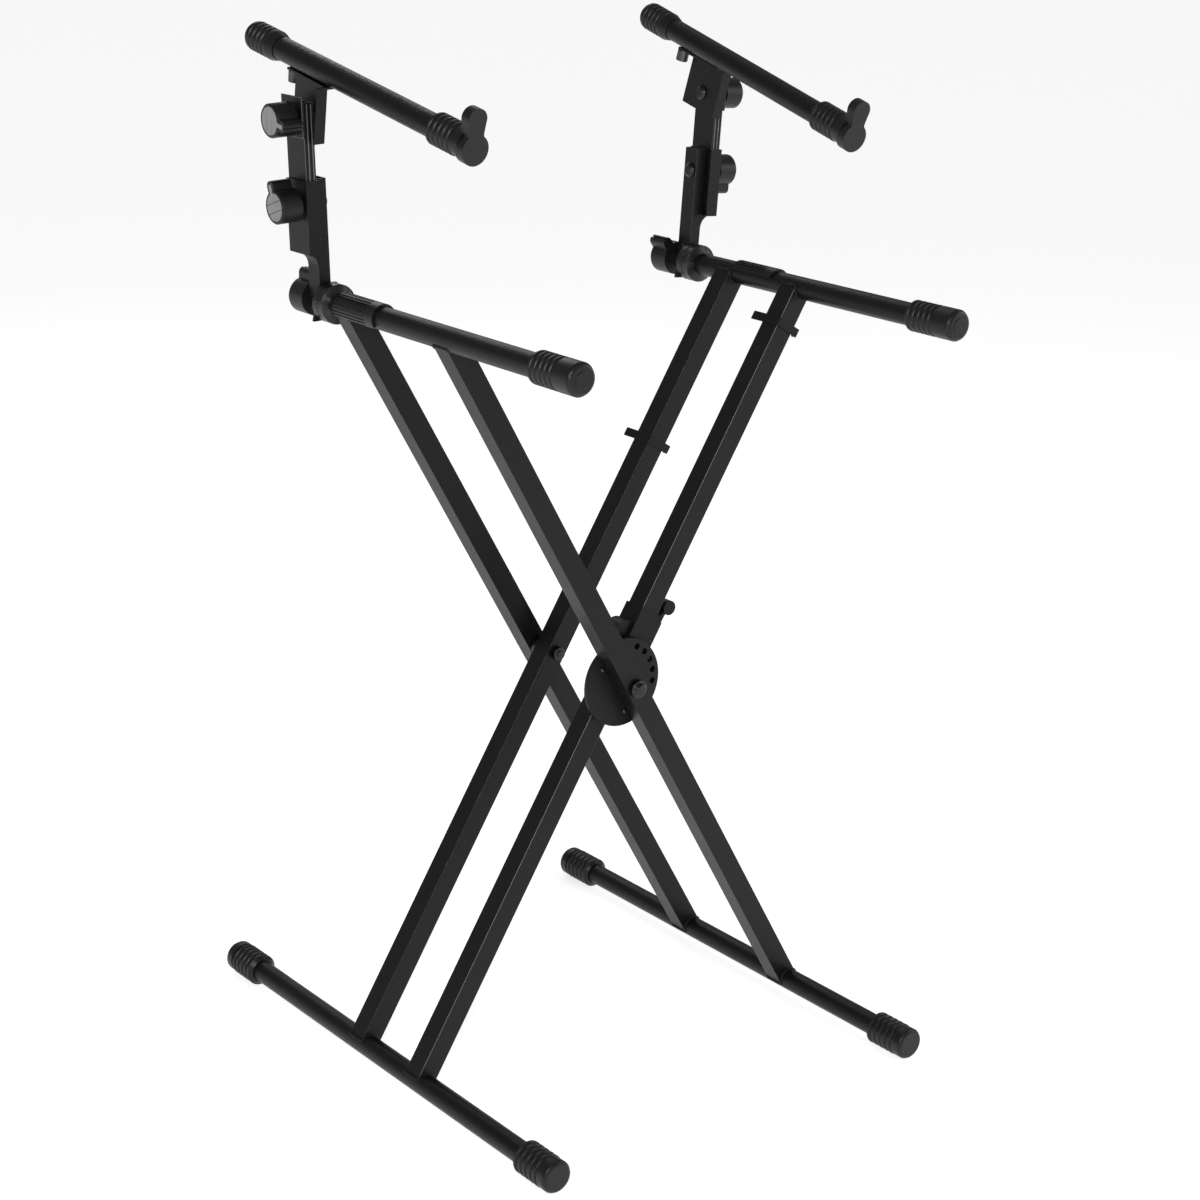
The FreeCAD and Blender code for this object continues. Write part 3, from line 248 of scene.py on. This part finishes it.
def soften(node, width, material, segments=2, edge=None, reshape=None):
    # A finished copy of a solid: faces joined, edges rounded, normals smooth.
    # The rounded edges can take a lighter colour of their own, a painted highlight.
    source = frame["nodes"][node]
    shape = bmesh.new()
    shape.from_mesh(source.data)
    bmesh.ops.remove_doubles(shape, verts=shape.verts, dist=JOIN_GAP)
    if reshape:
        reshape(shape)
    bmesh.ops.dissolve_limit(shape, angle_limit=FLAT_BEND, verts=shape.verts,
                             edges=shape.edges)
    mesh = bpy.data.meshes.new(node + "_finished")
    shape.to_mesh(mesh)
    shape.free()
    mesh.materials.clear()
    mesh.materials.append(material)
    piece = bpy.data.objects.new(node + "_finished", mesh)
    bpy.context.scene.collection.objects.link(piece)
    bevel = piece.modifiers.new("edges", "BEVEL")
    bevel.width = width
    bevel.segments = segments
    bevel.limit_method = "ANGLE"
    bevel.angle_limit = EDGE_BEND
    bevel.use_clamp_overlap = True
    if edge:
        mesh.materials.append(edge)
        bevel.material = 1
    for face in mesh.polygons:
        face.use_smooth = True
    normals = piece.modifiers.new("normals", "WEIGHTED_NORMAL")
    normals.keep_sharp = False
    normals.weight = FACE_WEIGHT
    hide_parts(node)
    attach(piece, source["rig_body"])
    return piece


for leg in ("leg_a_front", "leg_a_rear"):
    soften(leg, 1.8 * MM, BLACK_COAT, segments=3)
# The inner legs' rounded corners get a painted highlight, the bright line where they catch the key
# lamp.
for leg in ("leg_b_front", "leg_b_rear"):
    soften(leg, 1.5 * MM, BLACK_COAT, segments=3, edge=LEG_CORNER_HIGHLIGHT)
for tube in ("foot_tube_left", "foot_tube_right", "arm_tube_left", "arm_tube_right"):
    soften(tube, 0.3 * MM, BLACK_COAT)

BEAD_RADIUS, BEAD_STEPS, BEAD_SIDES = 1.7 * MM, 120, 8
BEAD_RIPPLE, BEAD_RIPPLES = 0.16, 30


def mesh_piece(name, shape, material, body, smooth=True):
    mesh = bpy.data.meshes.new(name)
    shape.to_mesh(mesh)
    shape.free()
    mesh.materials.append(material)
    for face in mesh.polygons:
        face.use_smooth = smooth
    piece = bpy.data.objects.new(name, mesh)
    bpy.context.scene.collection.objects.link(piece)
    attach(piece, body)
    return piece


def middle(node):
    low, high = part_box(node)
    return (Vector(low) + Vector(high)) / 2


def square_point(share, half):
    # A point on a square outline, its share of the way round counted from one corner.
    side, along = divmod(share * 4, 1)
    run = (2 * along - 1) * half
    return [(run, -half), (half, run), (-run, half), (-half, -run)][int(side) % 4]


def weld_bead(leg, tube, far_tube):
    # The bead follows the line where the square leg meets the round tube.
    leg_low, leg_high = (Vector(corner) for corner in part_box(leg))
    tube_low, tube_high = (Vector(corner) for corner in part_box(tube))
    half = (leg_high.y - leg_low.y) / 2
    radius = (tube_high.z - tube_low.z) / 2
    start = middle(tube)
    start.y = (leg_high.y + leg_low.y) / 2
    axis = middle(far_tube) - middle(tube)
    axis.y = 0
    axis.normalize()
    side = Vector((axis.z, 0, -axis.x))
    line = []
    for step in range(BEAD_STEPS):
        u, v = square_point(step / BEAD_STEPS, half)
        rise = math.sqrt(max(radius * radius - u * u, 0))
        line.append(start + axis * rise + side * u + Vector((0, v, 0)))
    shape = bmesh.new()
    rings = []
    for step, spot in enumerate(line):
        ahead = (line[(step + 1) % BEAD_STEPS] - line[step - 1]).normalized()
        out = (spot - start - axis * (spot - start).dot(axis)).normalized()
        out = (out - ahead * out.dot(ahead)).normalized()
        up = ahead.cross(out)
        ripple = math.sin(step / BEAD_STEPS * BEAD_RIPPLES * math.tau)
        size = BEAD_RADIUS * (1 + BEAD_RIPPLE * ripple)
        rings.append([shape.verts.new(spot + (out * math.cos(turn) + up * math.sin(turn)) * size)
                      for turn in (math.tau * k / BEAD_SIDES for k in range(BEAD_SIDES))])
    for step, ring in enumerate(rings):
        other = rings[(step + 1) % BEAD_STEPS]
        for k in range(BEAD_SIDES):
            after = (k + 1) % BEAD_SIDES
            shape.faces.new((ring[k], ring[after], other[after], other[k]))
    bmesh.ops.recalc_face_normals(shape, faces=shape.faces)
    name = "weld_" + leg + ("_foot" if tube.startswith("foot") else "_arm")
    mesh_piece(name, shape, BLACK_COAT, frame["nodes"][leg]["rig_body"])


for leg in ("leg_a_front", "leg_a_rear", "leg_b_front", "leg_b_rear"):
    foot, arm = "foot_tube_right", "arm_tube_left"
    if leg.startswith("leg_b"):
        foot, arm = "foot_tube_left", "arm_tube_right"
    weld_bead(leg, foot, arm)
    weld_bead(leg, arm, foot)

# --- Rubber caps and sleeves --------------------------------------------------
# Moulded black rubber: ribbed caps are pushed over the tube ends, and sleeves
# wrap the lower arms. The rubber is dull, with faintly lighter patches.


def rubber(name):
    compound = Recipe(name, specular=0.32)
    cloud = compound.noise(38.0, 4.0)
    skin = compound.noise(1100.0, 3.0)
    colour = compound.blend(cloud, (0.002, 0.002, 0.002), (0.008, 0.008, 0.008))
    return compound.finish(colour, cloud * 0.14 + 0.34, skin, 0.00010)


BLACK_RUBBER = rubber("black_rubber")
for cap in ("foot_cap_left_front", "foot_cap_left_rear", "foot_cap_right_front",
            "foot_cap_right_rear", "arm_cap_left", "arm_cap_right",
            "upper_cap_rear_left", "upper_cap_rear_right",
            "upper_cap_front_left", "upper_cap_front_right"):
    soften(cap, 0.9 * MM, BLACK_RUBBER, segments=3)
for sleeve in ("arm_sleeve_left", "arm_sleeve_right"):
    soften(sleeve, 0.35 * MM, BLACK_RUBBER)

# --- Toothed pivots -----------------------------------------------------------
# Cast discs with radial teeth face each other between arm and post; the edges of the teeth carry a
# painted highlight.


def cast_metal(name, dark, light):
    cast = Recipe(name, metallic=0.7, specular=0.5)
    cloud = cast.noise(60.0, 4.0)
    grain = cast.noise(1100.0, 2.0)
    colour = cast.blend(cloud, dark, light)
    return cast.finish(colour, cloud * 0.2 + 0.26, grain, 0.00008)


CAST = cast_metal("cast_metal", (0.012, 0.012, 0.013), (0.040, 0.040, 0.041))
# A light cast colour for the tooth edges: painted glints.
CAST_EDGE_HIGHLIGHT = cast_metal("painted_cast_edge_highlight", (0.25, 0.25, 0.25), (0.60, 0.60, 0.58))
for side in ("left", "right"):
    soften("rosette_arm_" + side, 0.5 * MM, CAST, 2, CAST_EDGE_HIGHLIGHT)
    soften("rosette_post_" + side, 0.5 * MM, CAST, 2, CAST_EDGE_HIGHLIGHT)

# --- Posts, bars, saddles and upper arms --------------------------------------
# Narrow welded tube and bent channel, a slotted bar that slides in it, and the
# folded saddle that carries the upper arm: all powder coated.
joints = {joint["name"]: joint for joint in frame["joints"]}
PLATE_HALF, PLATE_TOP, PLATE_NECK = 20.0 * MM, 20.0 * MM, 11.2 * MM
FLANGE_HALF, FLANGE_OUT, FLANGE_IN = 12.0 * MM, 7.6 * MM, -6.0 * MM
NEAR = 0.05 * MM


def tapered_plate(side):
    # The pivot plate narrows upward to the width of the tube that it carries.
    pivot = Vector(joints["post_pivot_" + side]["pos_m"])
    up = Vector(joints["height_slide_" + side]["axis"])
    out = Vector(joints["height_knob_turn_" + side]["axis"])

    def reshape(shape):
        for vertex in shape.verts:
            spot = vertex.co - pivot
            along = spot.dot(out)
            if abs(spot.dot(up) - PLATE_TOP) < NEAR and abs(abs(along) - PLATE_HALF) < NEAR:
                vertex.co -= out * math.copysign(PLATE_HALF - PLATE_NECK, along)
    return reshape


def narrow_flange(side):
    # The top of the saddle is folded in from the web, so its outer edge is the fold.
    pivot = Vector(joints["arm_tilt_" + side]["pos_m"])
    out = Vector(joints["height_knob_turn_" + side]["axis"])

    def reshape(shape):
        for vertex in shape.verts:
            along = (vertex.co - pivot).dot(out)
            if abs(abs(along) - FLANGE_HALF) < NEAR:
                vertex.co += out * ((FLANGE_OUT if along > 0 else FLANGE_IN) - along)
    return reshape


# The rounded edges of posts, bars, clamp plates and saddles take a painted highlight colour.
for side in ("left", "right"):
    soften("post_" + side, 0.7 * MM, BLACK_COAT, 2, EDGE_HIGHLIGHT_COAT, tapered_plate(side))
    soften("mid_bar_" + side, 0.7 * MM, BLACK_COAT, 2, EDGE_HIGHLIGHT_COAT)
    soften("clamp_plate_" + side, 0.5 * MM, BLACK_COAT, 2, EDGE_HIGHLIGHT_COAT)
    soften("saddle_" + side, 0.7 * MM, BLACK_COAT, 2, EDGE_HIGHLIGHT_COAT, narrow_flange(side))
    soften("upper_arm_tube_" + side, 0.3 * MM, BLACK_COAT)

TUBE_OUT, TUBE_FRONT, TUBE_BACK = 11.0 * MM, 119.5 * MM, 140.5 * MM
CHANNEL_LOW = 54.5 * MM
GUSSET, GUSSET_STEPS, GUSSET_SINK = 15.6 * MM, 10, 0.4 * MM


def post_lines(side):
    # The post's pivot in the middle plane, and its directions upward and outward.
    pivot = Vector(joints["post_pivot_" + side]["pos_m"])
    pivot.y = 0
    up = Vector(joints["height_slide_" + side]["axis"])
    out = Vector(joints["height_knob_turn_" + side]["axis"])
    return pivot, up, out


def close_prism(shape, ends):
    # Faces on both ends and every side of a straight prism.
    shape.faces.new(ends[0])
    shape.faces.new(ends[1][::-1])
    for k in range(len(ends[0])):
        after = (k + 1) % len(ends[0])
        shape.faces.new((ends[0][k], ends[1][k], ends[1][after], ends[0][after]))


def gusset(side):
    # A hollow fillet of weld where the foot of the channel meets the narrow tube.
    pivot, up, out = post_lines(side)
    corner = (TUBE_OUT - GUSSET_SINK, CHANNEL_LOW + GUSSET_SINK)
    outline = [corner, (TUBE_OUT + GUSSET, CHANNEL_LOW + GUSSET_SINK)]
    for step in range(GUSSET_STEPS + 1):
        bend = step / GUSSET_STEPS * math.pi / 2
        outline.append((TUBE_OUT + GUSSET * (1 - math.sin(bend)),
                        CHANNEL_LOW - GUSSET * (1 - math.cos(bend))))
    outline.append((TUBE_OUT - GUSSET_SINK, CHANNEL_LOW - GUSSET))
    shape = bmesh.new()
    ends = []
    for depth in (TUBE_FRONT, TUBE_BACK):
        ends.append([shape.verts.new(pivot + out * x + up * z + Vector((0, depth, 0)))
                     for x, z in outline])
    close_prism(shape, ends)
    bmesh.ops.recalc_face_normals(shape, faces=shape.faces)
    mesh_piece("channel_weld_" + side, shape, BLACK_COAT, "post_" + side, False)


BAR_FRONT, BAR_IN = 112.5 * MM, 12.7 * MM
RIB_LOW, RIB_HIGH = 70.0 * MM, 213.0 * MM
RIB_HALF, RIB_PROUD, RIB_SPOTS = 0.9 * MM, 0.45 * MM, (2.6 * MM, 7.6 * MM)


def pressed_ribs(side):
    # Two pressed ridges stiffen the front face of the sliding bar; they are coloured with the light
    # edge coat, a painted highlight.
    pivot, up, out = post_lines(side)
    shape = bmesh.new()
    for spot in RIB_SPOTS:
        ends = []
        for height in (RIB_LOW, RIB_HIGH):
            corners = [(-RIB_HALF, RIB_PROUD), (-RIB_HALF / 2, -RIB_PROUD),
                       (RIB_HALF / 2, -RIB_PROUD), (RIB_HALF, RIB_PROUD)]
            ends.append([shape.verts.new(pivot + out * (BAR_IN + spot + x) + up * height
                                         + Vector((0, BAR_FRONT + y, 0))) for x, y in corners])
        close_prism(shape, ends)
    bmesh.ops.recalc_face_normals(shape, faces=shape.faces)
    mesh_piece("bar_ribs_" + side, shape, EDGE_HIGHLIGHT_COAT, "mid_" + side, False)


for side in ("left", "right"):
    gusset(side)
    pressed_ribs(side)

# --- Bolts --------------------------------------------------------------------
# Blackened steel bolts with rounded heads; the lock pin is bare plated steel and
# the saddle screws are a darker one.


def turned_steel(name, dark, light, rough):
    steel = Recipe(name, metallic=1.0)
    cloud = steel.noise(120.0, 3.0)
    brush = steel.noise(2200.0, 2.0)
    colour = steel.blend(cloud, dark, light)
    return steel.finish(colour, cloud * 0.2 + rough, brush, 0.00004)


BLACKENED = turned_steel("blackened_steel", (0.020, 0.020, 0.020), (0.060, 0.060, 0.058), 0.20)
PLATED = turned_steel("plated_steel", (0.30, 0.29, 0.28), (0.55, 0.54, 0.51), 0.24)
SCREW_STEEL = turned_steel("screw_steel", (0.05, 0.05, 0.05), (0.14, 0.14, 0.135), 0.26)
for bolt in ("pivot_bolt_left", "pivot_bolt_right", "height_bolt_left", "height_bolt_right",
             "tilt_bolt_left", "tilt_bolt_right", "hub_bolts", "hub_spacers", "lever_axle"):
    soften(bolt, 0.8 * MM, BLACKENED, 3)
soften("lock_pin", 0.5 * MM, PLATED)

for side in ("left", "right"):
    soften("saddle_screw_" + side, 0.8 * MM, SCREW_STEEL, 3)

# --- Knobs --------------------------------------------------------------------
# Black moulded knobs with one finger wing and a light face disc let into the
# outer end; the disc has a short tab that points along the wing.


def moulded_plastic(name, dark, light, rough, specular):
    plastic = Recipe(name, specular=specular)
    cloud = plastic.noise(45.0, 3.0)
    grain = plastic.noise(1800.0, 2.0)
    colour = plastic.blend(cloud, dark, light)
    return plastic.finish(colour, cloud * 0.1 + rough, grain, 0.00005)


KNOB_PLASTIC = moulded_plastic("knob_plastic", (0.003, 0.003, 0.003), (0.009, 0.009, 0.009),
                               0.36, 0.28)
FACE_PLASTIC = moulded_plastic("face_plastic", (0.17, 0.17, 0.17), (0.27, 0.27, 0.27), 0.34, 0.4)
FACE_RECESS, FACE_RADIUS, FACE_THICK = 1.2 * MM, 14.9 * MM, 0.95 * MM
TAB_HALF, TAB_SHORT = 2.3 * MM, 4.0 * MM
LINE_AT, LINE_HALF, FACE_STEPS = 5.0 * MM, 0.3 * MM, 56
FACE_BEVEL, WING_SHARE = 0.15 * MM, 0.97


def knob_face(knob):
    # Three slips of one disc, parted by two fine lines across it, in the recess.
    joint = joints[knob.replace("_knob", "_knob_turn")]
    source = frame["nodes"][knob]
    pivot, axis = Vector(joint["pos_m"]), Vector(joint["axis"]).normalized()
    spots = [v.co - pivot for v in source.data.vertices]
    end = max(spot.dot(axis) for spot in spots)
    radial = [spot - axis * spot.dot(axis) for spot in spots]
    reach = max(spot.length for spot in radial)
    wing = sum((spot for spot in radial if spot.length > WING_SHARE * reach), Vector()).normalized()
    cross = axis.cross(wing)
    start = math.asin(TAB_HALF / FACE_RADIUS)
    sweep = math.tau - 2 * start
    outline = [(FACE_RADIUS * math.cos(start + sweep * k / FACE_STEPS),
                FACE_RADIUS * math.sin(start + sweep * k / FACE_STEPS))
               for k in range(FACE_STEPS + 1)]
    outline += [(reach - TAB_SHORT, -TAB_HALF), (reach - TAB_SHORT, TAB_HALF)]
    shape = bmesh.new()
    shape.faces.new([shape.verts.new((x, y, 0)) for x, y in outline])
    for cut in (-LINE_AT - LINE_HALF, -LINE_AT + LINE_HALF, LINE_AT - LINE_HALF,
                LINE_AT + LINE_HALF):
        bmesh.ops.bisect_plane(shape, geom=shape.verts[:] + shape.edges[:] + shape.faces[:],
                               plane_co=(cut, 0, 0), plane_no=(1, 0, 0))
    lines = [face for face in shape.faces
             if abs(abs(face.calc_center_bounds().x) - LINE_AT) < LINE_HALF]
    bmesh.ops.delete(shape, geom=lines, context="FACES")
    raised = bmesh.ops.extrude_face_region(shape, geom=shape.faces[:])
    top = [item for item in raised["geom"] if isinstance(item, bmesh.types.BMVert)]
    bmesh.ops.translate(shape, verts=top, vec=(0, 0, FACE_THICK))
    seat = Matrix((wing, cross, axis)).transposed().to_4x4()
    seat.translation = pivot + axis * (end - FACE_RECESS)
    bmesh.ops.transform(shape, matrix=seat, verts=shape.verts)
    bmesh.ops.recalc_face_normals(shape, faces=shape.faces)
    face = mesh_piece(knob + "_face", shape, FACE_PLASTIC, source["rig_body"],
                      False)
    bevel = face.modifiers.new("edges", "BEVEL")
    bevel.width = FACE_BEVEL
    bevel.segments = 2


for side in ("left", "right"):
    for knob in ("pivot_knob_", "height_knob_", "tilt_knob_"):
        soften(knob + side, 1.0 * MM, KNOB_PLASTIC, 3)
        knob_face(knob + side)

# --- Hub and lock -------------------------------------------------------------
# A drilled steel disc riveted to the outer leg, the lock housing on the inner
# leg and the squeeze lever that draws the pin.
LOCK_PLASTIC = moulded_plastic("lock_plastic", (0.0012, 0.0012, 0.0012), (0.006, 0.006, 0.006),
                               0.42, 0.2)
soften("lock_disc", 0.8 * MM, BLACK_COAT, 3)
soften("lock_housing", 1.2 * MM, LOCK_PLASTIC)
soften("lock_trigger", 1.2 * MM, LOCK_PLASTIC, 3)

RIVET_RADIUS, RIVET_HIGH, RIVET_RINGS, RIVET_SIDES = 2.7 * MM, 1.7 * MM, 5, 20
RIVET_SHARE, RIVET_SINK, RIVET_ANGLES = 0.69, 1.3 * MM, (146, -84)


def rivet_head(number, angle):
    # A bare domed head that holds the disc to the outer leg.
    low, high = (Vector(corner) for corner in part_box("lock_disc"))
    radius = (high.x - low.x) / 2 * RIVET_SHARE
    hub = (low + high) / 2
    centre = Vector((hub.x + radius * math.cos(math.radians(angle)), low.y + RIVET_SINK,
                     hub.z + radius * math.sin(math.radians(angle))))
    shape = bmesh.new()
    rings = []
    for step in range(RIVET_RINGS):
        bend = math.pi / 2 * step / RIVET_RINGS
        size, rise = RIVET_RADIUS * math.cos(bend), RIVET_HIGH * math.sin(bend)
        rings.append([shape.verts.new(centre + Vector((size * math.cos(turn), -rise,
                                                       size * math.sin(turn))))
                      for turn in (math.tau * k / RIVET_SIDES for k in range(RIVET_SIDES))])
    for inner, outer in zip(rings[1:], rings):
        for k in range(RIVET_SIDES):
            after = (k + 1) % RIVET_SIDES
            shape.faces.new((outer[k], outer[after], inner[after], inner[k]))
    shape.faces.new(rings[-1])
    shape.faces.new(rings[0][::-1])
    bmesh.ops.recalc_face_normals(shape, faces=shape.faces)
    mesh_piece("disc_rivet_" + str(number), shape, SCREW_STEEL, "frame_a")


for number, angle in enumerate(RIVET_ANGLES, 1):
    rivet_head(number, angle)

# --- Cable clips --------------------------------------------------------------
# Small moulded clips snapped over the inner legs.
for clip in ("cable_clip_front", "cable_clip_rear"):
    soften(clip, 0.4 * MM, LOCK_PLASTIC)
